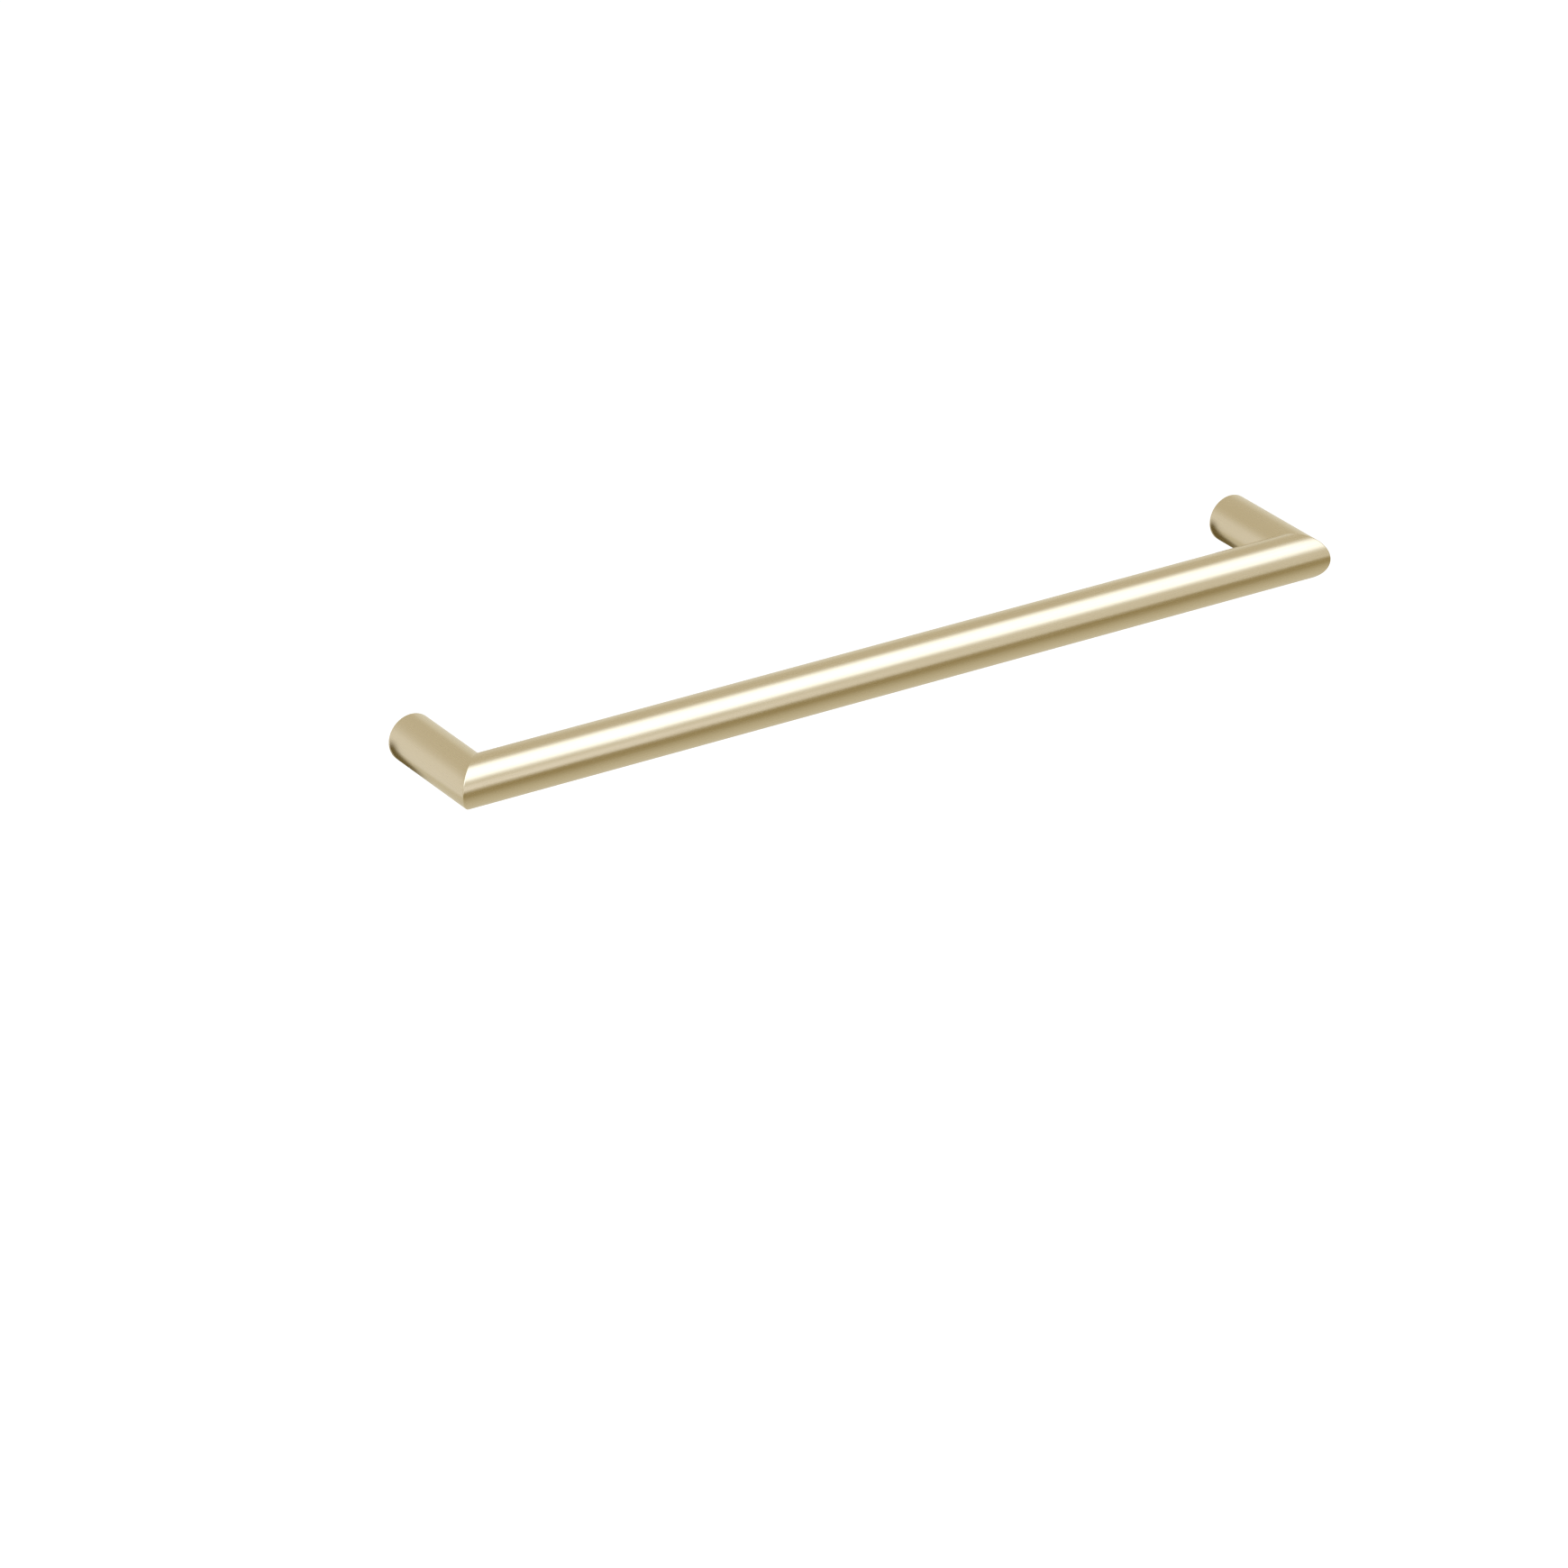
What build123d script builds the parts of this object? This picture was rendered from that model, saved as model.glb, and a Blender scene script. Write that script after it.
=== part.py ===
"""Electric heated towel rail with one round bar, in millimetres.

The wall is the plane Y = 0 and the rail stands out of it towards -Y.
+X runs along the rail, to the right as seen from the room, and +Z is up.
The origin lies on the wall, midway between the two wall fixings.
"""

import os
from math import pi, sqrt

from build123d import *

# Rail and posts: one size of tube, mitred at both corners
rail_length = 650.0  # over the outside of both posts
projection = 90.0  # from the wall to the front of the rail
tube_diameter = 32.0
tube_wall = 1.5
rim_chamfer = 0.3  # on the post's outer rim at the wall

# Post bushes: rings brazed into the posts, which carry the set screws
bush_length = 16.0
bush_wall = 2.0
bush_recess = 0.5  # the bush stops short of the wall, so that only the post's rim meets it
bush_chamfer = 0.5
braze_gap = 0.05

# Wall spigots: turned plugs screwed to the wall, which the posts slide over
spigot_length = 15.0
spigot_clearance = 0.1  # radial, between spigot and bush
spigot_lead_in = 0.6
groove_from_wall = 8.0  # groove that the set screw's point draws into
groove_depth = 1.0
wall_screw_hole = 4.0
wall_screw_head = 7.2
countersink_angle = 90.0
cable_hole = 6.8

# Set screws: hexagon socket, cone point, up through the underside of each post
set_screw_diameter = 5.0
set_screw_recess = 0.5  # below the tube's surface
set_screw_chamfer = 0.4
thread_gap = 0.05
point_flat_radius = 0.5
point_gap = 0.1
hex_key = 2.5  # across flats
hex_depth = 2.0

# Rubber cable grommet on the wired side, blanking plug on the other side
rubber_gap = 0.05
rubber_lip = 0.5  # how far the lip reaches over the hole's edge
rubber_lip_thickness = 1.0
lip_chamfer = 0.3
rubber_recess = 0.5  # short of the wall
lead_bore = 4.4
dimple_radius = 1.6
dimple_depth = 0.8

# Heating cable: one loop along the front of the rail, both ends in the left post
cable_diameter = 4.0
core_diameter = 1.6
far_end_clearance = 5.0  # from the loop's far end to the right post's axis
far_end_straight = 1.0  # between the two bends of the loop's far end

# Crimped joints, thermal fuse and the sleeves over them
wiring_gap = 2.5  # from the grommet's lip to the first crimp
crimp_length = 9.0
crimp_wall = 0.75
crimp_gap = 0.05
crimp_middle_gap = 1.0  # between the two ends inside a crimp
crimp_dent_radius = 1.2
crimp_dent_depth = 0.5
fuse_diameter = 3.9
fuse_length = 11.0
fuse_taper = 3.0  # length of the resin end
fuse_tip_diameter = 2.4
fuse_lead_diameter = 1.2
fuse_lead_showing = 1.0
insulation_gap = 0.5  # from a crimp to the cable's insulation
sleeve_gap = 0.05  # radial
sleeve_wall = 0.3
sleeve_overlap = 4.5  # along the cable's insulation
sleeve_setback = 1.5  # the crimp's free end shows by this much
sleeve_to_bend = 2.0
seat_gap = 0.3  # between sleeve and tube

# Sizes that follow from those above
tube_radius = tube_diameter / 2
bore_radius = tube_radius - tube_wall
post_x = rail_length / 2 - tube_radius
rail_y = tube_radius - projection
bush_outer = bore_radius - braze_gap
bush_inner = bush_outer - bush_wall
spigot_radius = bush_inner - spigot_clearance
groove_radius = spigot_radius - groove_depth
groove_half_width = point_flat_radius + groove_depth
set_screw_radius = set_screw_diameter / 2 - thread_gap
set_screw_top = tube_radius - set_screw_recess
set_screw_tip = groove_radius + point_gap
rubber_radius = cable_hole / 2 - rubber_gap
lip_radius = cable_hole / 2 + rubber_lip
wall_screw_offset = (lip_radius + spigot_radius - spigot_lead_in) / 2

cable_radius = cable_diameter / 2
crimp_bore = max(core_diameter, fuse_lead_diameter) / 2 + crimp_gap
crimp_radius = crimp_bore + crimp_wall
crimp_reach = (crimp_length - crimp_middle_gap) / 2
sleeve_bore = max(cable_radius, crimp_radius, fuse_diameter / 2) + sleeve_gap
sleeve_radius = sleeve_bore + sleeve_wall
cable_offset = (bore_radius - seat_gap - sleeve_radius) / sqrt(2)
cable_x = -post_x - cable_offset
cable_y = rail_y - cable_offset
loop_end_x = post_x - far_end_clearance

# Stations along the left post, as distances from the wall
first_crimp = spigot_length + rubber_lip_thickness + wiring_gap
return_end = first_crimp + crimp_length + insulation_gap
fuse_start = first_crimp + crimp_length + fuse_lead_showing
fuse_end = fuse_start + fuse_length
second_crimp = fuse_end + fuse_lead_showing
fused_end = second_crimp + crimp_length + insulation_gap
sleeve_start = first_crimp + sleeve_setback
bend_radius = -cable_y - (fused_end + sleeve_overlap + sleeve_to_bend)
loop_radius = cable_offset - far_end_straight / 2

left_mitre = Plane((-post_x, rail_y, 0), x_dir=(1, 1, 0), z_dir=(1, -1, 0))
right_mitre = Plane((post_x, rail_y, 0), x_dir=(1, -1, 0), z_dir=(-1, -1, 0))
sides = {"left": (-post_x, left_mitre), "right": (post_x, right_mitre)}

os.makedirs("parts", exist_ok=True)


def save(part, name):
    """Labels a finished piece and writes it to its own file."""
    part.label = name
    export_step(part, f"parts/{name}.step")


def post_plane(x):
    """A horizontal plane through a post's axis, with its local y along the axis, towards the room."""
    return Plane((x, 0, 0), x_dir=(-1, 0, 0), z_dir=(0, 0, 1))


def wall_plane(x, distance):
    """A plane across a post, facing the room, at a distance from the wall."""
    return Plane((x, -distance, 0), x_dir=(1, 0, 0), z_dir=(0, -1, 0))


def underside_plane(x):
    """A plane across a set screw's axis, on the post's axis and facing down."""
    return Plane((x, -groove_from_wall, 0), x_dir=(1, 0, 0), z_dir=(0, 0, -1))


def wiring_plane(z, distance):
    """A plane across the wiring in the left post, facing the room, centred on the cable at height z."""
    return Plane((cable_x, -distance, z), x_dir=(1, 0, 0), z_dir=(0, -1, 0))


# Rail tube, cut at 45 degrees where it meets each post
with BuildPart() as rail_tube:
    with BuildSketch(Plane.YZ.offset(-rail_length / 2)):
        with Locations((rail_y, 0)):
            Circle(tube_radius)
            Circle(bore_radius, mode=Mode.SUBTRACT)
    extrude(amount=rail_length)
    split(bisect_by=left_mitre, keep=Keep.TOP)
    split(bisect_by=right_mitre, keep=Keep.TOP)
save(rail_tube.part, "rail_tube")

for side, (x, mitre) in sides.items():
    # Post tube: square at the wall, mitred at the rail, with the set screw's hole underneath
    with BuildPart() as post_tube:
        with BuildSketch(wall_plane(x, 0)):
            Circle(tube_radius)
            Circle(bore_radius, mode=Mode.SUBTRACT)
        extrude(amount=projection)
        split(bisect_by=mitre, keep=Keep.BOTTOM)
        wall_rims = post_tube.faces().sort_by(Axis.Y)[-1].edges()
        chamfer(wall_rims.sort_by(SortBy.RADIUS)[-1], rim_chamfer)
        with BuildSketch(underside_plane(x)):
            Circle(set_screw_diameter / 2)
        extrude(amount=tube_radius, mode=Mode.SUBTRACT)
    save(post_tube.part, f"{side}_post_tube")

    # Bush: the ring that gives the set screw its thread and the spigot its seat
    with BuildPart() as post_bush:
        with BuildSketch(wall_plane(x, bush_recess)):
            Circle(bush_outer)
            Circle(bush_inner, mode=Mode.SUBTRACT)
        extrude(amount=bush_length)
        inner_rims = post_bush.faces().sort_by(Axis.Y)[-1].edges()
        chamfer(inner_rims.sort_by(SortBy.RADIUS)[0], bush_chamfer)
        with BuildSketch(underside_plane(x)):
            Circle(set_screw_diameter / 2)
        extrude(amount=tube_radius, mode=Mode.SUBTRACT)
    save(post_bush.part, f"{side}_post_bush")

    # Spigot: turned with a groove and a lead-in, then drilled for the cable and the wall screws
    with BuildPart() as wall_spigot:
        with BuildSketch(post_plane(x)):
            with BuildLine():
                Polyline(
                    (0, 0),
                    (spigot_radius, 0),
                    (spigot_radius, groove_from_wall - groove_half_width),
                    (groove_radius, groove_from_wall - point_flat_radius),
                    (groove_radius, groove_from_wall + point_flat_radius),
                    (spigot_radius, groove_from_wall + groove_half_width),
                    (spigot_radius, spigot_length - spigot_lead_in),
                    (spigot_radius - spigot_lead_in, spigot_length),
                    (0, spigot_length),
                    close=True,
                )
            make_face()
        revolve(axis=Axis((x, 0, 0), (0, 1, 0)))
        with Locations(wall_plane(x, spigot_length)):
            Hole(cable_hole / 2)
            with GridLocations(0, 2 * wall_screw_offset, 1, 2):
                CounterSinkHole(
                    wall_screw_hole / 2, wall_screw_head / 2, counter_sink_angle=countersink_angle
                )
    save(wall_spigot.part, f"{side}_wall_spigot")

    # Set screw: cone point in the groove, hexagon socket facing down
    with BuildPart() as set_screw:
        with BuildSketch(Plane((x, -groove_from_wall, 0), x_dir=(1, 0, 0), z_dir=(0, 1, 0))):
            with BuildLine():
                Polyline(
                    (0, set_screw_tip),
                    (point_flat_radius, set_screw_tip),
                    (set_screw_radius, set_screw_tip + set_screw_radius - point_flat_radius),
                    (set_screw_radius, set_screw_top - set_screw_chamfer),
                    (set_screw_radius - set_screw_chamfer, set_screw_top),
                    (0, set_screw_top),
                    close=True,
                )
            make_face()
        revolve(axis=Axis((x, -groove_from_wall, 0), (0, 0, 1)))
        with BuildSketch(underside_plane(x).offset(set_screw_top)):
            RegularPolygon(hex_key / 2, 6, major_radius=False)
        extrude(amount=-hex_depth, mode=Mode.SUBTRACT)
    save(set_screw.part, f"{side}_set_screw")

# Rubber pieces in the spigots' cable holes: a grommet for the supply lead, and a plug with a dimple
rubber_pieces = {
    "cable_grommet": (-post_x, lead_bore / 2, spigot_length + rubber_lip_thickness),
    "blanking_plug": (post_x, dimple_radius, rubber_recess + dimple_depth),
}
for name, (x, hole_radius, hole_depth) in rubber_pieces.items():
    with BuildPart() as rubber_piece:
        with BuildSketch(wall_plane(x, rubber_recess)):
            Circle(rubber_radius)
        extrude(amount=spigot_length - rubber_recess)
        with BuildSketch(wall_plane(x, spigot_length)):
            Circle(lip_radius)
        extrude(amount=rubber_lip_thickness)
        lip_edge = rubber_piece.faces().sort_by(Axis.Y)[0].edges()
        chamfer(lip_edge, lip_chamfer)
        with BuildSketch(wall_plane(x, 0)):
            Circle(hole_radius)
        extrude(amount=hole_depth, mode=Mode.SUBTRACT)
    save(rubber_piece.part, name)

# Heating cable: out along the upper front of the rail, round, and back along the lower front
with BuildPart() as heating_cable:
    with BuildLine() as cable_route:
        FilletPolyline(
            (cable_x, -fused_end, cable_offset),
            (cable_x, cable_y, cable_offset),
            (loop_end_x, cable_y, cable_offset),
            (loop_end_x, cable_y, -cable_offset),
            (cable_x, cable_y, -cable_offset),
            (cable_x, -return_end, -cable_offset),
            radius=[bend_radius, loop_radius, loop_radius, bend_radius],
        )
    with BuildSketch(wiring_plane(cable_offset, fused_end)):
        Circle(cable_radius)
    sweep(path=cable_route.wires()[0])
    for z, distance in ((cable_offset, fused_end), (-cable_offset, return_end)):
        with BuildSketch(wiring_plane(z, distance)):
            Circle(core_diameter / 2)
        extrude(amount=-(insulation_gap + crimp_reach))
save(heating_cable.part, "heating_cable")

# Crimped joints: two on the fused side and one on the return side
crimps = {
    "supply_crimp": (cable_offset, first_crimp),
    "fuse_crimp": (cable_offset, second_crimp),
    "return_crimp": (-cable_offset, first_crimp),
}
for name, (z, distance) in crimps.items():
    with BuildPart() as crimp:
        with BuildSketch(wiring_plane(z, distance)):
            Circle(crimp_radius)
            Circle(crimp_bore, mode=Mode.SUBTRACT)
        extrude(amount=crimp_length)
        dent_y = -distance - crimp_length / 2
        dent_z = z + crimp_radius - crimp_dent_depth + crimp_dent_radius
        with BuildSketch(Plane((cable_x, dent_y, dent_z), x_dir=(0, 1, 0), z_dir=(1, 0, 0))):
            Circle(crimp_dent_radius)
        extrude(amount=crimp_radius, both=True, mode=Mode.SUBTRACT)
    save(crimp.part, name)

# Thermal fuse: a metal case with a tapered resin end, and a lead at each end
with BuildPart() as thermal_fuse:
    with BuildSketch(wiring_plane(cable_offset, fuse_start)):
        Circle(fuse_diameter / 2)
    extrude(amount=fuse_length - fuse_taper)
    with BuildSketch(wiring_plane(cable_offset, fuse_end - fuse_taper)):
        Circle(fuse_diameter / 2)
    with BuildSketch(wiring_plane(cable_offset, fuse_end)):
        Circle(fuse_tip_diameter / 2)
    loft()
    lead_reach = fuse_lead_showing + crimp_reach
    with BuildSketch(wiring_plane(cable_offset, fuse_start - lead_reach)):
        Circle(fuse_lead_diameter / 2)
    extrude(amount=fuse_length + 2 * lead_reach)
save(thermal_fuse.part, "thermal_fuse")

# Insulating sleeves over the joints
sleeves = {
    "fuse_sleeve": (cable_offset, fused_end + sleeve_overlap),
    "return_sleeve": (-cable_offset, return_end + sleeve_overlap),
}
for name, (z, sleeve_end) in sleeves.items():
    with BuildPart() as sleeve:
        with BuildSketch(wiring_plane(z, sleeve_start)):
            Circle(sleeve_radius)
            Circle(sleeve_bore, mode=Mode.SUBTRACT)
        extrude(amount=sleeve_end - sleeve_start)
    save(sleeve.part, name)

route_volume = cable_route.wires()[0].length * pi * cable_radius**2
print(f"cable {heating_cable.part.volume:.0f} mm3, its section times its length {route_volume:.0f} mm3")
print(f"cable bends {bend_radius:.1f} mm at the corner and {loop_radius:.1f} mm at the far end")
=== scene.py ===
"""Looks of a heated towel rail: a round gold bar with mitred wall posts.

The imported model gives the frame, in metres: +X along the bar, the wall at y = 0 with the room on -Y, +Z up.
"""

import math

import bpy
import numpy as np
from bpy.props import FloatProperty, FloatVectorProperty, IntProperty, PointerProperty
from bpy.types import Operator, Panel, PropertyGroup
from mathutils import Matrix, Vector


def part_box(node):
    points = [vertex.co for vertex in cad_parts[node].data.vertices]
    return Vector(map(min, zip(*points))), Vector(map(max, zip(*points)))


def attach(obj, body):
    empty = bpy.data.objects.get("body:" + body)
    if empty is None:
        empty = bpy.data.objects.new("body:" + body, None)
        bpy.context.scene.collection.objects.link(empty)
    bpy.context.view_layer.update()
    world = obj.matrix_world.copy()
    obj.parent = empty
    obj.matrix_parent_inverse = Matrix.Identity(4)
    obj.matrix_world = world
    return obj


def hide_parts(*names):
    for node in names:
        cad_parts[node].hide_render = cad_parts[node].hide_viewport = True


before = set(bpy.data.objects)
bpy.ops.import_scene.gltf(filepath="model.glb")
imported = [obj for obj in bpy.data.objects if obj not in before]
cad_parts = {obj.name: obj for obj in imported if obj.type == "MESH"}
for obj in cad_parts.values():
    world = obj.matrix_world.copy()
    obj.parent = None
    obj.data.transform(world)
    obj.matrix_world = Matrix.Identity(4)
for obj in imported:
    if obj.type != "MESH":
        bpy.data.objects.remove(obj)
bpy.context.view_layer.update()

bl_info = {
    "name": "Heated Towel Rail",
    "version": (1, 0, 0),
    "blender": (4, 5, 0),
    "location": "View3D > Sidebar > Towel Rail",
    "description": "Skins the mitred tubes of a heated towel rail and gives every piece its finish",
    "category": "Add Mesh",
}

BAR_LOW, BAR_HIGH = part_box("rail_tube")
SCREW_LOW, SCREW_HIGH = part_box("left_set_screw")
SIDES = {"left": -1.0, "right": 1.0}

# Edges of the skins that turn by more than this stay sharp
SHARP_TURN = math.radians(35)


def linear(hex_colour):
    """Linear RGBA of an sRGB hex colour."""
    channels = [int(hex_colour[i : i + 2], 16) / 255 for i in (0, 2, 4)]
    return tuple(c / 12.92 if c <= 0.04045 else ((c + 0.055) / 1.055) ** 2.4 for c in channels) + (1.0,)


def colour(name, description, hex_colour):
    """A colour property with its sRGB hex default."""
    return FloatVectorProperty(
        name=name, description=description, subtype="COLOR", size=4, min=0, max=1, default=linear(hex_colour)
    )


def length(name, description, default):
    """A length property in metres."""
    return FloatProperty(
        name=name, description=description, subtype="DISTANCE", unit="LENGTH", min=0, default=default
    )


def angle(name, description, degrees):
    """An angle property with its default in degrees."""
    return FloatProperty(
        name=name, description=description, subtype="ANGLE", unit="ROTATION", default=math.radians(degrees)
    )


def brightness(name, description, default):
    """A brightness property, where 1 is white."""
    return FloatProperty(name=name, description=description, min=0, default=default)


class TowelRailSizes(PropertyGroup):
    """Sizes of the tube skins."""

    tube_diameter: length("Tube diameter", "Outside of the bar and the posts", BAR_HIGH.y - BAR_LOW.y)
    tube_wall: length("Tube wall", "Wall thickness of the bar and the posts", 0.0015)
    bar_length: length("Bar length", "Overall length over both posts", BAR_HIGH.x - BAR_LOW.x)
    projection: length("Projection", "From the wall to the front of the bar", -BAR_LOW.y)
    mitre_softness: length("Mitre softness", "Radius of the ground-down edge along the mitre welds", 0.0006)
    rim_softness: length("Rim softness", "Radius of the broken edge at the wall", 0.0003)
    screw_diameter: length("Screw diameter", "Across a set screw", SCREW_HIGH.x - SCREW_LOW.x)
    screw_gap: length("Screw gap", "Between a set screw and the edge of its hole", 0.00005)
    screw_from_wall: length("Screw from wall", "To a set screw's axis", -(SCREW_LOW.y + SCREW_HIGH.y) / 2)
    hole_chamfer: length("Hole chamfer", "Broken edge of a set screw's hole", 0.0002)
    around: IntProperty(
        name="Steps around", description="Faces round a tube, an even number", min=64, default=192
    )


class TowelRailFinish(PropertyGroup):
    """Colours and grain of the finishes."""

    gold: colour("Gold", "Champagne gold of the tubes", "d1c4a5")
    gold_deep: colour("Deeper gold", "The same coat where it is a little thicker", "cec09f")
    brass: colour("Brass", "Turned wall spigots", "d4bf8b")
    steel: colour("Steel", "Bushes brazed into the posts", "c4c3bf")
    screw: colour("Screw steel", "Set screws", "b4b4b5")
    rubber: colour("Rubber", "Grommet and blanking plug", "2b2b2c")
    silicone: colour("Silicone", "Cover of the heating cable", "a65545")
    tin: colour("Tin", "Crimps on the cable's cores", "d7d5d2")
    fuse: colour("Fuse case", "Plated case of the thermal cut-out", "d4d1cb")
    sleeve: colour("Glass sleeve", "Woven sleeves over the joints", "e7e6df")
    grain_width: length("Grain width", "Width of one line of the tube's satin grain", 0.0006)
    grain_length: length("Grain length", "Length of one line of the tube's satin grain", 0.06)
    coat_drift: length("Coat drift", "Distance over which the gold coat's thickness drifts", 0.08)
    yarn_width: length("Yarn width", "Width of one yarn of the glass sleeves", 0.0008)


class TowelRailStage(PropertyGroup):
    """Camera and studio."""

    azimuth: angle("Azimuth", "Camera's side angle", -32.70)
    elevation: angle("Elevation", "Camera's height angle", 25.81)
    distance: length("Distance", "From the camera to the point it looks at", 4.825)
    aim: FloatVectorProperty(
        name="Aim",
        description="Point at the middle of the picture",
        subtype="TRANSLATION",
        unit="LENGTH",
        default=(-0.0689, -0.05, -0.0743),
    )
    lens: FloatProperty(
        name="Lens",
        description="Focal length on a 36 mm sensor",
        subtype="DISTANCE_CAMERA",
        unit="CAMERA",
        min=10,
        default=176.2,
    )
    mounting_height: length("Mounting height", "From the floor to the bar", 1.1)
    floor_glow: brightness("Floor glow", "What the floor adds to its lit paint as a background", 0.7)
    box_height: angle("Soft box height", "Height angle of the soft box, seen from the bar", 67)
    box_distance: length("Soft box distance", "From the bar to the soft box", 1.5)
    box_face: brightness("Soft box face", "Brightness of the soft box in metal", 2.86)
    lamp: brightness("Lamp", "Brightness of the soft box on dull surfaces", 1.85)
    fill: brightness("Fill", "Brightness of the room on dull surfaces", 0.35)


def corner_axes(sizes):
    """The tube's radius, and the x and y where the axes of the bar and the right post cross."""
    radius = sizes.tube_diameter / 2
    return radius, sizes.bar_length / 2 - radius, radius - sizes.projection


def mitred_skin(radius, reach, softness, starts, turn, steps):
    """One end of a mitred tube, as (along, out, up) arrays of stations by angles.

    At the angle a round the tube a line of the skin lies out = r cos a from the axis towards the outside
    of the corner and up = r sin a above it, so it meets the mitre at along = reach + r cos a. It passes
    the given starts, runs in equal steps to softness short of the mitre, then turns an eighth of a circle
    of that radius up to the mitre plane. With no softness it ends sharp.
    """
    out = radius * np.cos(turn)
    straight_end = reach + out - softness
    share = np.linspace(0, 1, steps + 1)[1:, None]
    run = starts[-1] + share * (straight_end - starts[-1])
    head = np.repeat(starts[:, None], len(turn), axis=1)
    bend_steps = 6 if softness else 0
    bend = np.radians(np.linspace(0, 45, bend_steps + 1)[1:, None])
    along = np.concatenate([head, run, straight_end + softness * np.sin(bend)])
    flat = np.zeros((len(head) + len(run), 1))
    outward = out + np.concatenate([flat, softness * (np.cos(bend) - 1)])
    return along, outward, np.repeat((radius * np.sin(turn))[None], len(along), axis=0)


def ring_quads(indices):
    """Quads between the rows of an index array whose columns close into a ring."""
    following = np.roll(indices, -1, axis=1)
    return np.stack([indices[:-1], following[:-1], following[1:], indices[1:]], axis=-1)


def closed_shell(rows):
    """Indices of rows of ring points, and quads from each row to the next and from the last to the first."""
    indices = np.arange(rows.shape[0] * rows.shape[1]).reshape(rows.shape[:2])
    return indices, ring_quads(np.concatenate([indices, indices[:1]]))


def add_tube_skin(name, points, quads, node, material):
    """A smooth closed mesh in place of a tube, turned outwards by the sign of the volume it encloses."""
    used, quads = np.unique(quads, return_inverse=True)
    points, quads = points[used], quads.reshape(-1, 4)
    a, b, c, d = (points[quads[:, k]] for k in range(4))
    volume = np.sum(a * np.cross(b, c) + a * np.cross(c, d))
    mesh = bpy.data.meshes.new(name)
    mesh.from_pydata(points.tolist(), [], (quads if volume > 0 else quads[:, ::-1]).tolist())
    mesh.polygons.foreach_set("use_smooth", np.ones(len(quads), dtype=bool))
    mesh.set_sharp_from_angle(angle=SHARP_TURN)
    mesh.materials.append(material)
    piece = bpy.data.objects.new(name, mesh)
    bpy.context.scene.collection.objects.link(piece)
    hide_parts(node)
    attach(piece, "root")


def add_node(tree, kind, settings=None, inputs=None):
    """A shader node with its settings, its inputs' values and links from other nodes' sockets."""
    node = tree.nodes.new("ShaderNode" + kind)
    for name, value in (settings or {}).items():
        setattr(node, name, value)
    for key, value in (inputs or {}).items():
        if isinstance(value, bpy.types.NodeSocket):
            tree.links.new(value, node.inputs[key])
        else:
            node.inputs[key].default_value = value
    return node


def new_material(name):
    """An empty node material and its tree."""
    material = bpy.data.materials.new(name)
    material.use_nodes = True
    material.node_tree.nodes.clear()
    return material, material.node_tree


def gold_tube(name, finish, axis):
    """PVD gold on satin stainless tube: a hard thin coat over the steel's polishing grain, along one axis.

    It gives the eye clear but soft-edged reflections, warm where the room is dark and nearly white under
    the soft box.
    """
    material, tree = new_material(name)
    place = add_node(tree, "TexCoord")
    # the real grain is under 0.1 mm wide, and is drawn coarser so that a close view shows it
    scale = [1 / finish.grain_width] * 3
    scale[axis] = 1 / finish.grain_length
    stretched = add_node(tree, "Mapping", inputs={"Vector": place.outputs["Object"], "Scale": scale})
    grain = add_node(
        tree,
        "TexNoise",
        inputs={"Vector": stretched.outputs[0], "Scale": 1.0, "Detail": 3.0, "Roughness": 0.6},
    )
    drift = add_node(
        tree,
        "TexNoise",
        inputs={"Vector": place.outputs["Object"], "Scale": 1 / finish.coat_drift, "Detail": 1.0},
    )
    tone = add_node(
        tree,
        "Mix",
        settings={"data_type": "RGBA"},
        inputs={0: drift.outputs["Fac"], 6: finish.gold, 7: finish.gold_deep},
    )
    sheen = add_node(
        tree,
        "MapRange",
        inputs={
            "Value": grain.outputs["Fac"],
            "From Min": 0.3,
            "From Max": 0.7,
            "To Min": 0.21,
            "To Max": 0.29,
        },
    )
    lines = add_node(
        tree, "Bump", inputs={"Strength": 0.09, "Distance": 0.00005, "Height": grain.outputs["Fac"]}
    )
    surface = add_node(
        tree,
        "BsdfPrincipled",
        inputs={
            "Base Color": tone.outputs[2],
            "Metallic": 1.0,
            "Roughness": sheen.outputs["Result"],
            "Normal": lines.outputs["Normal"],
        },
    )
    add_node(tree, "OutputMaterial", inputs={"Surface": surface.outputs[0]})
    return material


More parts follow.
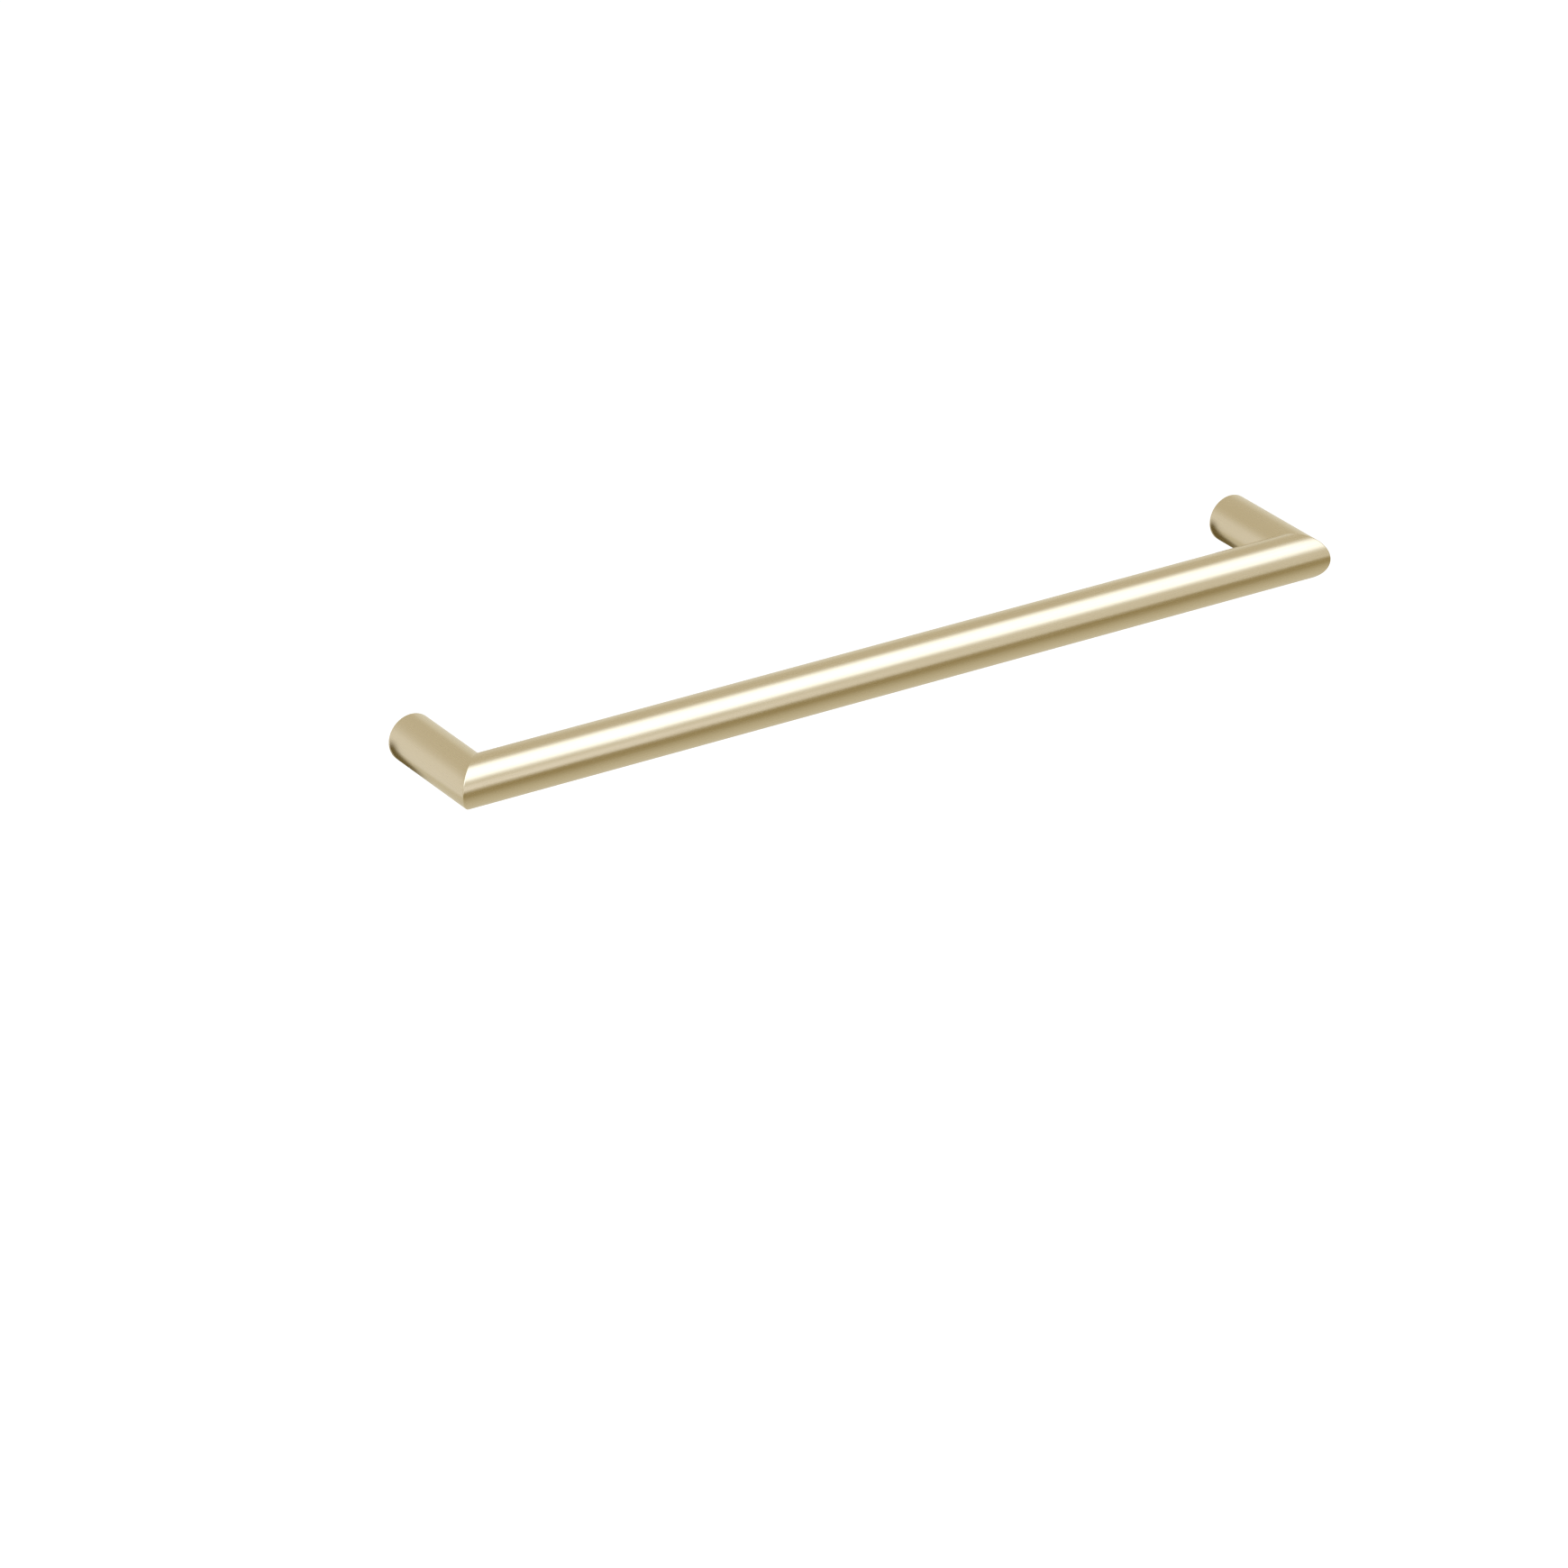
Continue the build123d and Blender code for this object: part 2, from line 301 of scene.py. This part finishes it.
def turned_metal(name, base, axis_x, feed, roughness):
    """A part turned on a lathe about the post's axis.

    It gives the eye fine rings of the tool's feed over the faces and the bore, between two roughnesses.
    """
    material, tree = new_material(name)
    place = add_node(tree, "TexCoord")
    centred = add_node(
        tree, "Mapping", inputs={"Vector": place.outputs["Object"], "Location": (-axis_x, 0.0, 0.0)}
    )
    # a ring wave's period is pi / 10 over its scale; a real feed, 0.1 mm, is drawn coarser so that it shows
    rings = add_node(
        tree,
        "TexWave",
        settings={"wave_type": "RINGS", "rings_direction": "Y"},
        inputs={
            "Vector": centred.outputs[0],
            "Scale": math.pi / 10 / feed,
            "Distortion": 0.4,
            "Detail": 1.0,
        },
    )
    low, high = roughness
    sheen = add_node(
        tree, "MapRange", inputs={"Value": rings.outputs["Fac"], "To Min": low, "To Max": high}
    )
    groove = add_node(
        tree, "Bump", inputs={"Strength": 0.25, "Distance": 0.00003, "Height": rings.outputs["Fac"]}
    )
    surface = add_node(
        tree,
        "BsdfPrincipled",
        inputs={
            "Base Color": base,
            "Metallic": 1.0,
            "Roughness": sheen.outputs["Result"],
            "Normal": groove.outputs["Normal"],
        },
    )
    add_node(tree, "OutputMaterial", inputs={"Surface": surface.outputs[0]})
    return material


def fine_grained(name, base, grit, depth, roughness, shader):
    """A formed, plated or moulded surface, with the shader values that make it metal or rubber.

    It gives the eye an even grit of the given size and depth, which breaks up the sheen between two
    roughnesses.
    """
    material, tree = new_material(name)
    place = add_node(tree, "TexCoord")
    grain = add_node(
        tree,
        "TexNoise",
        inputs={"Vector": place.outputs["Object"], "Scale": 1 / grit, "Detail": 4.0, "Roughness": 0.55},
    )
    low, high = roughness
    sheen = add_node(
        tree,
        "MapRange",
        inputs={
            "Value": grain.outputs["Fac"],
            "From Min": 0.3,
            "From Max": 0.7,
            "To Min": low,
            "To Max": high,
        },
    )
    bumps = add_node(
        tree, "Bump", inputs={"Strength": 0.3, "Distance": depth, "Height": grain.outputs["Fac"]}
    )
    surface = add_node(
        tree,
        "BsdfPrincipled",
        inputs={
            "Base Color": base,
            "Roughness": sheen.outputs["Result"],
            "Normal": bumps.outputs["Normal"],
            **shader,
        },
    )
    add_node(tree, "OutputMaterial", inputs={"Surface": surface.outputs[0]})
    return material


def woven_glass(name, base, yarn_width):
    """Braided glass-fibre sleeve: crossed yarns, dull and slightly fuzzy to the eye."""
    material, tree = new_material(name)
    place = add_node(tree, "TexCoord")
    # a diagonal wave's period is 2 pi / (10 sqrt 3) over its scale
    scale = 2 * math.pi / (10 * math.sqrt(3)) / yarn_width
    yarns = []
    for way in (1.0, -1.0):
        slant = add_node(
            tree, "Mapping", inputs={"Vector": place.outputs["Object"], "Scale": (way, 1.0, 1.0)}
        )
        yarn = add_node(
            tree,
            "TexWave",
            settings={"bands_direction": "DIAGONAL"},
            inputs={"Vector": slant.outputs[0], "Scale": scale, "Distortion": 0.6},
        )
        yarns.append(yarn.outputs["Fac"])
    weave = add_node(tree, "Math", settings={"operation": "MAXIMUM"}, inputs={0: yarns[0], 1: yarns[1]})
    bumps = add_node(tree, "Bump", inputs={"Strength": 0.6, "Distance": 0.0002, "Height": weave.outputs[0]})
    surface = add_node(
        tree,
        "BsdfPrincipled",
        inputs={
            "Base Color": base,
            "Roughness": 0.75,
            "IOR": 1.55,
            "Sheen Weight": 0.2,
            "Normal": bumps.outputs["Normal"],
        },
    )
    add_node(tree, "OutputMaterial", inputs={"Surface": surface.outputs[0]})
    return material


def dress(node, material):
    """Puts one material in every slot of a CAD node's object."""
    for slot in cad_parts[node].material_slots:
        slot.material = material


def bar_surface(sizes):
    """Points and quads of the bar, from mitre to mitre.

    The right half of a skin is a mitred skin that starts at the middle, and the left half is its mirror.
    The outer skin, and the inner one in reverse, make a closed shell over both mitre faces.
    """
    radius, corner_x, axis_y = corner_axes(sizes)
    turn = np.linspace(0, math.tau, sizes.around, endpoint=False)
    middle = np.zeros(1)

    def whole(skin_radius, softness):
        """Both halves of one skin, as rows of points from left to right."""
        along, out, up = mitred_skin(skin_radius, corner_x, softness, middle, turn, steps=20)
        right = np.stack([along, axis_y - out, up], axis=-1)
        left = right[:0:-1] * np.array([-1, 1, 1])
        return np.concatenate([left, right])

    outer = whole(radius, sizes.mitre_softness)
    inner = whole(radius - sizes.tube_wall, 0.0)
    rows = np.concatenate([outer, inner[::-1]])
    _, quads = closed_shell(rows)
    return rows.reshape(-1, 3), quads.reshape(-1, 4)


class TOWEL_RAIL_OT_bar(Operator):
    """Skin the bar with a smooth tube that ends on both mitre planes."""

    bl_idname = "towel_rail.bar"
    bl_label = "Bar"

    def execute(self, context):
        sizes, finish = context.scene.towel_rail_sizes, context.scene.towel_rail_finish
        points, quads = bar_surface(sizes)
        material = gold_tube("pvd_gold_satin_bar", finish, axis=0)
        add_tube_skin("bar_skin", points, quads, "rail_tube", material)
        return {"FINISHED"}


def block_rim(block):
    """Indices round the edge of a square block, one way round."""
    return np.concatenate([block[0, :-1], block[:-1, -1], block[-1, :0:-1], block[:0:-1, 0]])


def post_surface(sizes, side):
    """Points and quads of one post, from its rim at the wall to the mitre, with the set screw's hole.

    The outer and inner skins are grids of distance from the wall by angle, closed into one shell over the
    rim and the mitre face. The rim's edges are quarter circles. A square block of each skin is cut out
    under the post. From the block's edge to the hole the surface is a ring: the edge's points, laid flat
    as (arc, distance), slide towards the hole's circle, and are rolled back onto the tube. The hole is
    drilled upwards, so its circle of radius a has the arc r asin(a cos t / r).
    """
    radius, corner_x, axis_y = corner_axes(sizes)
    bore, axis_x, reach = radius - sizes.tube_wall, side * corner_x, -axis_y
    turn = np.pi / 2 + np.linspace(0, math.tau, sizes.around, endpoint=False)
    rim_steps, foot_steps, run_steps, ring_steps = 5, 3, 10, 6

    # the block reaches a 24th of a turn to each side of the bottom, and as far along the post
    bottom, cells = sizes.around // 2, sizes.around // 24
    half = radius * math.tau * cells / sizes.around
    screw = sizes.screw_from_wall
    before = np.linspace(sizes.rim_softness, screw - half, foot_steps + 1)
    starts = np.concatenate([before, np.linspace(screw - half, screw + half, 2 * cells + 1)[1:]])
    outer = mitred_skin(radius, reach, sizes.mitre_softness, starts, turn, run_steps)
    inner = mitred_skin(bore, reach, 0.0, starts, turn, run_steps)

    def placed(along, out, up):
        """Points in the frame, from distances from the wall, outwards and up."""
        return np.stack([axis_x + side * out, -along, up], axis=-1)

    bend = np.radians(np.linspace(0, 90, rim_steps, endpoint=False)[:, None])
    rim_along = sizes.rim_softness * (1 - np.sin(bend)) + 0 * turn
    outer_rim = radius - sizes.rim_softness * (1 - np.cos(bend))
    inner_rim = bore + sizes.rim_softness * (1 - np.cos(bend))
    rows = np.concatenate(
        [
            placed(rim_along, outer_rim * np.cos(turn), outer_rim * np.sin(turn)),
            placed(*outer),
            placed(*inner)[::-1],
            placed(rim_along, inner_rim * np.cos(turn), inner_rim * np.sin(turn))[::-1],
        ]
    )
    indices, closed = closed_shell(rows)

    # rows count from the wall on the outer skin, and from the last row back on the inner one
    first = len(bend) + len(before) - 1
    last = len(rows) - 1 - first
    block = slice(first, first + 2 * cells + 1), slice(bottom - cells, bottom + cells + 1)
    outer_rim_of_block = block_rim(indices[block])
    inner_rim_of_block = block_rim(indices[::-1][block])
    keep = np.ones(closed.shape[:2], dtype=bool)
    keep[first : first + 2 * cells, bottom - cells : bottom + cells] = False
    keep[last - 2 * cells : last, bottom - cells : bottom + cells] = False

    steps = np.arange(-cells, cells + 1)
    edge = block_rim(np.stack(np.meshgrid(steps, steps), axis=-1))
    way = np.arctan2(edge[:, 1], edge[:, 0])
    edge_along = edge[:, 1] * half / cells

    def patch(skin_radius, hole, shares):
        """Rings from the block's edge (share 0) to a circle of the given radius (share 1) on a skin."""
        arc = edge[:, 0] * math.tau * skin_radius / sizes.around
        hole_arc = skin_radius * np.arcsin(hole * np.cos(way) / skin_radius)
        roll = -np.pi / 2 + (arc + shares[:, None] * (hole_arc - arc)) / skin_radius
        along = screw + edge_along + shares[:, None] * (hole * np.sin(way) - edge_along)
        return placed(along, skin_radius * np.cos(roll), skin_radius * np.sin(roll))

    hole = sizes.screw_diameter / 2 + sizes.screw_gap
    shares = np.linspace(0, 1, ring_steps + 1)[1:]
    tunnel = np.concatenate(
        [
            patch(radius, hole + sizes.hole_chamfer, shares),
            patch(radius - sizes.hole_chamfer, hole, shares[-1:]),
            patch(bore, hole, shares[::-1]),
        ]
    )
    rings = indices.size + np.arange(tunnel.shape[0] * tunnel.shape[1]).reshape(tunnel.shape[:2])
    rings = np.concatenate([outer_rim_of_block[None], rings, inner_rim_of_block[None]])
    points = np.concatenate([rows.reshape(-1, 3), tunnel.reshape(-1, 3)])
    return points, np.concatenate([closed[keep], ring_quads(rings).reshape(-1, 4)])


class TOWEL_RAIL_OT_posts(Operator):
    """Skin both posts with smooth tubes from the wall to the mitres, each with its set screw's hole."""

    bl_idname = "towel_rail.posts"
    bl_label = "Posts"

    def execute(self, context):
        sizes, finish = context.scene.towel_rail_sizes, context.scene.towel_rail_finish
        material = gold_tube("pvd_gold_satin_post", finish, axis=1)
        for name, side in SIDES.items():
            points, quads = post_surface(sizes, side)
            add_tube_skin(f"{name}_post_skin", points, quads, f"{name}_post_tube", material)
        return {"FINISHED"}


class TOWEL_RAIL_OT_fixings(Operator):
    """Dress the bushes, wall spigots, set screws and rubber pieces behind the posts."""

    bl_idname = "towel_rail.fixings"
    bl_label = "Wall fixings"

    def execute(self, context):
        finish = context.scene.towel_rail_finish
        # stainless screw steel, formed cold and tumbled: plain grey with a fine matt grain
        screw_steel = fine_grained(
            "tumbled_stainless",
            finish.screw,
            grit=0.0005,
            depth=0.00002,
            roughness=(0.28, 0.4),
            shader={"Metallic": 1.0},
        )
        # EPDM rubber moulded in a spark-eroded tool: black, dull and faintly pebbled
        rubber = fine_grained(
            "epdm_rubber",
            finish.rubber,
            grit=0.0006,
            depth=0.00008,
            roughness=(0.62, 0.78),
            shader={"IOR": 1.52},
        )
        for name in SIDES:
            low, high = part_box(f"{name}_wall_spigot")
            axis_x = (low.x + high.x) / 2
            # free-cutting brass, bright from the tool
            brass = turned_metal(
                f"turned_brass_{name}", finish.brass, axis_x, feed=0.0004, roughness=(0.22, 0.32)
            )
            # stainless steel, duller after the brazing heat
            steel = turned_metal(
                f"turned_stainless_{name}", finish.steel, axis_x, feed=0.0005, roughness=(0.3, 0.42)
            )
            dress(f"{name}_wall_spigot", brass)
            dress(f"{name}_post_bush", steel)
            dress(f"{name}_set_screw", screw_steel)
        dress("cable_grommet", rubber)
        dress("blanking_plug", rubber)
        return {"FINISHED"}


class TOWEL_RAIL_OT_wiring(Operator):
    """Dress the heating cable, its crimps, the thermal cut-out and the sleeves inside the tubes."""

    bl_idname = "towel_rail.wiring"
    bl_label = "Wiring"

    def execute(self, context):
        finish = context.scene.towel_rail_finish
        # extruded silicone: soft red-brown, with a dusty half-sheen
        silicone = fine_grained(
            "silicone_rubber",
            finish.silicone,
            grit=0.001,
            depth=0.00005,
            roughness=(0.45, 0.6),
            shader={"IOR": 1.41},
        )
        dress("heating_cable", silicone)
        # tin-plated copper: bright grey, pressed and slightly clouded
        tin = fine_grained(
            "tin_plated_copper",
            finish.tin,
            grit=0.0008,
            depth=0.00003,
            roughness=(0.25, 0.4),
            shader={"Metallic": 1.0},
        )
        for name in ("supply_crimp", "fuse_crimp", "return_crimp"):
            dress(name, tin)
        # nickel-plated brass can, drawn and smooth
        nickel = fine_grained(
            "nickel_plated_brass",
            finish.fuse,
            grit=0.002,
            depth=0.00001,
            roughness=(0.18, 0.28),
            shader={"Metallic": 1.0},
        )
        dress("thermal_fuse", nickel)
        glass = woven_glass("braided_glass_fibre", finish.sleeve, finish.yarn_width)
        for name in ("fuse_sleeve", "return_sleeve"):
            dress(name, glass)
        return {"FINISHED"}


def add_stage_mesh(name, points, faces, material):
    """A piece of the stage from its points and faces."""
    mesh = bpy.data.meshes.new(name)
    mesh.from_pydata(points, [], faces)
    mesh.materials.append(material)
    card = bpy.data.objects.new(name, mesh)
    bpy.context.scene.collection.objects.link(card)
    return card


def add_card(name, low, high, material):
    """A flat card between two opposite corners, with one edge along X, or along Y where both x are equal."""
    axis = 0 if low[0] != high[0] else 1
    across, up = list(low), list(high)
    across[axis], up[axis] = high[axis], low[axis]
    return add_stage_mesh(name, [low, across, high, up], [(0, 1, 2, 3)], material)


def only_reflected(card):
    """Keeps a card out of the picture and out of the light on dull surfaces."""
    card.visible_camera = False
    card.visible_diffuse = False
    card.visible_shadow = False
    card.visible_transmission = False
    card.visible_volume_scatter = False


def shown_background(tree):
    """1 on rays from the camera, from gloss and through glass, which all see the white background."""
    path = add_node(tree, "LightPath")
    gloss = add_node(
        tree,
        "Math",
        settings={"operation": "MAXIMUM"},
        inputs={0: path.outputs["Is Glossy Ray"], 1: path.outputs["Is Transmission Ray"]},
    )
    seen = add_node(
        tree,
        "Math",
        settings={"operation": "MAXIMUM"},
        inputs={0: path.outputs["Is Camera Ray"], 1: gloss.outputs[0]},
    )
    return seen.outputs[0]


def white_floor(glow):
    """Matt white paint: pure white as a background, with the object's shadow, and open from below."""
    material, tree = new_material("matt_white_floor")
    seen = shown_background(tree)
    strength = add_node(tree, "Math", settings={"operation": "MULTIPLY"}, inputs={0: seen, 1: glow})
    shine = add_node(tree, "Emission", inputs={"Strength": strength.outputs[0]})
    paint = add_node(tree, "BsdfDiffuse", inputs={"Color": linear("f4f4f2")})
    both = add_node(tree, "AddShader", inputs={0: paint.outputs[0], 1: shine.outputs[0]})
    face = add_node(tree, "NewGeometry")
    clear = add_node(tree, "BsdfTransparent")
    surface = add_node(
        tree, "MixShader", inputs={0: face.outputs["Backfacing"], 1: both.outputs[0], 2: clear.outputs[0]}
    )
    add_node(tree, "OutputMaterial", inputs={"Surface": surface.outputs[0]})
    return material


def graded_paper(name, grades, tone, glow=1.0, other=None):
    """Paper that glows in one tone and turns smoothly to another, or to nothing.

    A grade is a way (X, Y, Z or the length of the reflected ray), where the tone begins along it and where
    it is full, in metres. The tone's share is the product of its grades.
    """
    material, tree = new_material(name)
    place = add_node(tree, "TexCoord")
    split = add_node(tree, "SeparateXYZ", inputs={0: place.outputs["Object"]})
    path = add_node(tree, "LightPath")
    shares = []
    for way, begins, full in grades:
        source = path if way == "Ray Length" else split
        grade = add_node(
            tree,
            "MapRange",
            settings={"interpolation_type": "SMOOTHSTEP"},
            inputs={"Value": source.outputs[way], "From Min": begins, "From Max": full},
        )
        shares.append(grade.outputs["Result"])
    share = shares[0]
    for factor in shares[1:]:
        product = add_node(tree, "Math", settings={"operation": "MULTIPLY"}, inputs={0: share, 1: factor})
        share = product.outputs[0]
    paper = add_node(tree, "Emission", inputs={"Color": linear(tone), "Strength": glow})
    if other:
        rest = add_node(tree, "Emission", inputs={"Color": linear(other)})
    else:
        rest = add_node(tree, "BsdfTransparent")
    surface = add_node(tree, "MixShader", inputs={0: share, 1: rest.outputs[0], 2: paper.outputs[0]})
    add_node(tree, "OutputMaterial", inputs={"Surface": surface.outputs[0]})
    return material


def add_paper_room():
    """Graded cards round the rail, which give the metal its tan, white and brown bands."""
    left, right, front, back, low = -4.0, 4.0, -4.0, 0.9, -0.6
    end, end_front, end_top = 2.2, -2.0, 1.0
    cards = [
        # behind: tan, white to the lower left
        add_card(
            "back_card",
            low=(left, back, low),
            high=(right, back, 4.5),
            material=graded_paper(
                "back_paper",
                grades=(("X", 0.1, -0.5), ("Z", 0.8, 0.2)),
                tone="fcfcff",
                glow=1.03,
                other="e3ddce",
            ),
        ),
        # behind to the right: paler, for the tubes' upper edges
        add_card(
            "edge_card",
            low=(0.1, back - 0.02, low),
            high=(right, back - 0.02, 0.65),
            material=graded_paper(
                "edge_paper",
                grades=(("X", 0.12, 0.3), ("Z", 0.62, 0.4)),
                tone="f3f1e8",
            ),
        ),
        # below: dark brown in front, tan towards the wall
        add_card(
            "floor_card",
            low=(left, front, low),
            high=(right, back, low),
            material=graded_paper(
                "floor_paper",
                grades=(("Y", -1.25, 0.0),),
                tone="e6e2d4",
                other="afa179",
            ),
        ),
        # in front: white, a little duller higher up and to the right
        add_card(
            "front_card",
            low=(-3.0, -2.0, -0.15),
            high=(right, -2.0, 1.5),
            material=graded_paper(
                "front_paper",
                grades=(("X", 1.3, 0.7), ("Z", 0.8, 0.35)),
                tone="f1f3ff",
                glow=1.37,
                other="f1efeb",
            ),
        ),
    ]
    # at both ends: tan, faded to white above
    for name, side in SIDES.items():
        paper = graded_paper(f"{name}_paper", grades=(("Z", 0.9, 0.1),), tone="e2ddce")
        corners = (side * end, end_front, low), (side * end, back, end_top)
        cards.append(add_card(f"{name}_card", *corners, paper))
    return cards


def add_box_face(middle, slope, glow):
    """The daylight soft box as metal shows it: a card that rises to the back, with faded edges."""
    half_length, front, back = 2.1, -1.8, 0.4
    left, right = middle.x - half_length, middle.x + half_length
    long_fade, left_fade, right_fade = 0.75, 0.5, 0.4
    paper = graded_paper(
        "soft_box_face",
        grades=(
            ("Y", front, front + long_fade),
            ("Y", back, back - long_fade),
            ("X", left, left + left_fade),
            ("X", right, right - right_fade),
        ),
        tone="dae5ff",
        glow=glow,
    )
    return add_card(
        "soft_box_face",
        low=(left, front, middle.z + slope * (front - middle.y)),
        high=(right, back, middle.z + slope * (back - middle.y)),
        material=paper,
    )


def add_post_shade(name, axis_x, radius):
    """The post's own shade on the wall below it: a fan round the post's foot, over half a turn.

    It is a dark card of painted shade, seen only in reflections, that stands in for a wall in the post's
    shadow.
    Only the post itself is near enough to show it.
    """
    inner, outer, behind_wall = 1.06 * radius, 5.5 * radius, 0.0003
    span = np.array([[inner], [outer]])
    turn = np.radians(np.linspace(160, 340, 31))
    x, z = axis_x + span * np.cos(turn), span * np.sin(turn)
    points = np.stack([x, np.full_like(x, behind_wall), z], axis=-1)
    indices = np.arange(x.size).reshape(x.shape)
    quads = np.stack([indices[0, :-1], indices[0, 1:], indices[1, 1:], indices[1, :-1]], axis=-1)
    paper = graded_paper(
        f"{name}_paper",
        grades=(
            ("X", axis_x - 1.6 * radius, axis_x - 1.15 * radius),
            ("X", axis_x + 0.7 * radius, axis_x - 0.3 * radius),
            ("Z", 0.35 * radius, -0.3 * radius),
            ("Z", -3.6 * radius, -1.6 * radius),
            ("Ray Length", 0.08, 0.03),
        ),
        # painted shade: the dark brown that the gold shows where it would reflect the post's shadow on a wall
        tone="73653c",
    )
    return add_stage_mesh(name, points.reshape(-1, 3), quads, paper)


def add_lamp(middle, away, strength):
    """The soft box's lamp, which lights what isn't metal."""
    lamp = bpy.data.lights.new("soft_box", "AREA")
    lamp.shape = "RECTANGLE"
    lamp.size, lamp.size_y = 3.8, 1.3
    lamp.energy = strength * math.pi * lamp.size * lamp.size_y
    box = bpy.data.objects.new("soft_box", lamp)
    box.location = middle
    box.rotation_mode = "QUATERNION"
    box.rotation_quaternion = away.to_track_quat("Z", "Y")
    box.visible_camera = False
    box.visible_glossy = False
    bpy.context.scene.collection.objects.link(box)


def white_room(fill):
    """A world that is a white background where it is seen, and a plain fill on dull surfaces."""
    world = bpy.data.worlds.new("white_room")
    world.use_nodes = True
    tree = world.node_tree
    tree.nodes.clear()
    seen = shown_background(tree)
    strength = add_node(tree, "MapRange", inputs={"Value": seen, "To Min": fill, "To Max": 1.0})
    sky = add_node(
        tree, "Background", inputs={"Color": linear("ffffff"), "Strength": strength.outputs["Result"]}
    )
    add_node(tree, "OutputWorld", inputs={"Surface": sky.outputs[0]})
    return world


def add_camera(stage):
    """A level camera that looks at its aim.

    It stands along (sin a cos e, -cos a cos e, sin e) from there, at the azimuth a and the elevation e.
    """
    camera = bpy.data.cameras.new("camera")
    camera.lens, camera.sensor_width = stage.lens, 36.0
    camera.clip_end = 50.0
    flat = math.cos(stage.elevation)
    back = Vector(
        (math.sin(stage.azimuth) * flat, -math.cos(stage.azimuth) * flat, math.sin(stage.elevation))
    )
    eye = bpy.data.objects.new("camera", camera)
    eye.location = Vector(stage.aim) + stage.distance * back
    eye.rotation_mode = "QUATERNION"
    eye.rotation_quaternion = (-back).to_track_quat("-Z", "Y")
    bpy.context.scene.collection.objects.link(eye)
    return eye


class TOWEL_RAIL_OT_stage(Operator):
    """Set up the floor, the studio light and the camera."""

    bl_idname = "towel_rail.stage"
    bl_label = "Stage"

    def execute(self, context):
        scene, stage = context.scene, context.scene.towel_rail_stage
        radius, corner_x, axis_y = corner_axes(scene.towel_rail_sizes)
        reach, floor_z = 8.0, -stage.mounting_height
        add_card("floor", (-reach, -reach, floor_z), (reach, reach, floor_z), white_floor(stage.floor_glow))

        # the soft box hangs above and in front, along the bar and square to the line from it
        box_x = -0.3
        away = Vector((0, -math.cos(stage.box_height), math.sin(stage.box_height)))
        middle = Vector((box_x, axis_y, 0)) + stage.box_distance * away
        cards = add_paper_room()
        cards.append(add_box_face(middle, 1 / math.tan(stage.box_height), stage.box_face))
        for name, side in SIDES.items():
            cards.append(add_post_shade(f"{name}_shade", side * corner_x, radius))
        for card in cards:
            only_reflected(card)

        add_lamp(middle, away, stage.lamp)
        scene.world = white_room(stage.fill)
        scene.camera = add_camera(stage)
        scene.view_settings.view_transform = "Standard"
        return {"FINISHED"}


class VIEW3D_PT_towel_rail(Panel):
    """Lists the towel rail's operators in the sidebar."""

    bl_label = "Towel Rail"
    bl_space_type = "VIEW_3D"
    bl_region_type = "UI"
    bl_category = "Towel Rail"

    def draw(self, context):
        for operator in OPERATORS:
            self.layout.operator(operator.bl_idname)


OPERATORS = (
    TOWEL_RAIL_OT_bar,
    TOWEL_RAIL_OT_posts,
    TOWEL_RAIL_OT_fixings,
    TOWEL_RAIL_OT_wiring,
    TOWEL_RAIL_OT_stage,
)
CLASSES = (TowelRailSizes, TowelRailFinish, TowelRailStage, *OPERATORS, VIEW3D_PT_towel_rail)


def register():
    for cls in CLASSES:
        bpy.utils.register_class(cls)
    bpy.types.Scene.towel_rail_sizes = PointerProperty(type=TowelRailSizes)
    bpy.types.Scene.towel_rail_finish = PointerProperty(type=TowelRailFinish)
    bpy.types.Scene.towel_rail_stage = PointerProperty(type=TowelRailStage)


def unregister():
    del bpy.types.Scene.towel_rail_stage
    del bpy.types.Scene.towel_rail_finish
    del bpy.types.Scene.towel_rail_sizes
    for cls in reversed(CLASSES):
        bpy.utils.unregister_class(cls)


def main():
    """Registers the add-on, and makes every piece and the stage."""
    register()
    bpy.ops.towel_rail.bar()
    bpy.ops.towel_rail.posts()
    bpy.ops.towel_rail.fixings()
    bpy.ops.towel_rail.wiring()
    bpy.ops.towel_rail.stage()


if __name__ == "__main__":
    main()
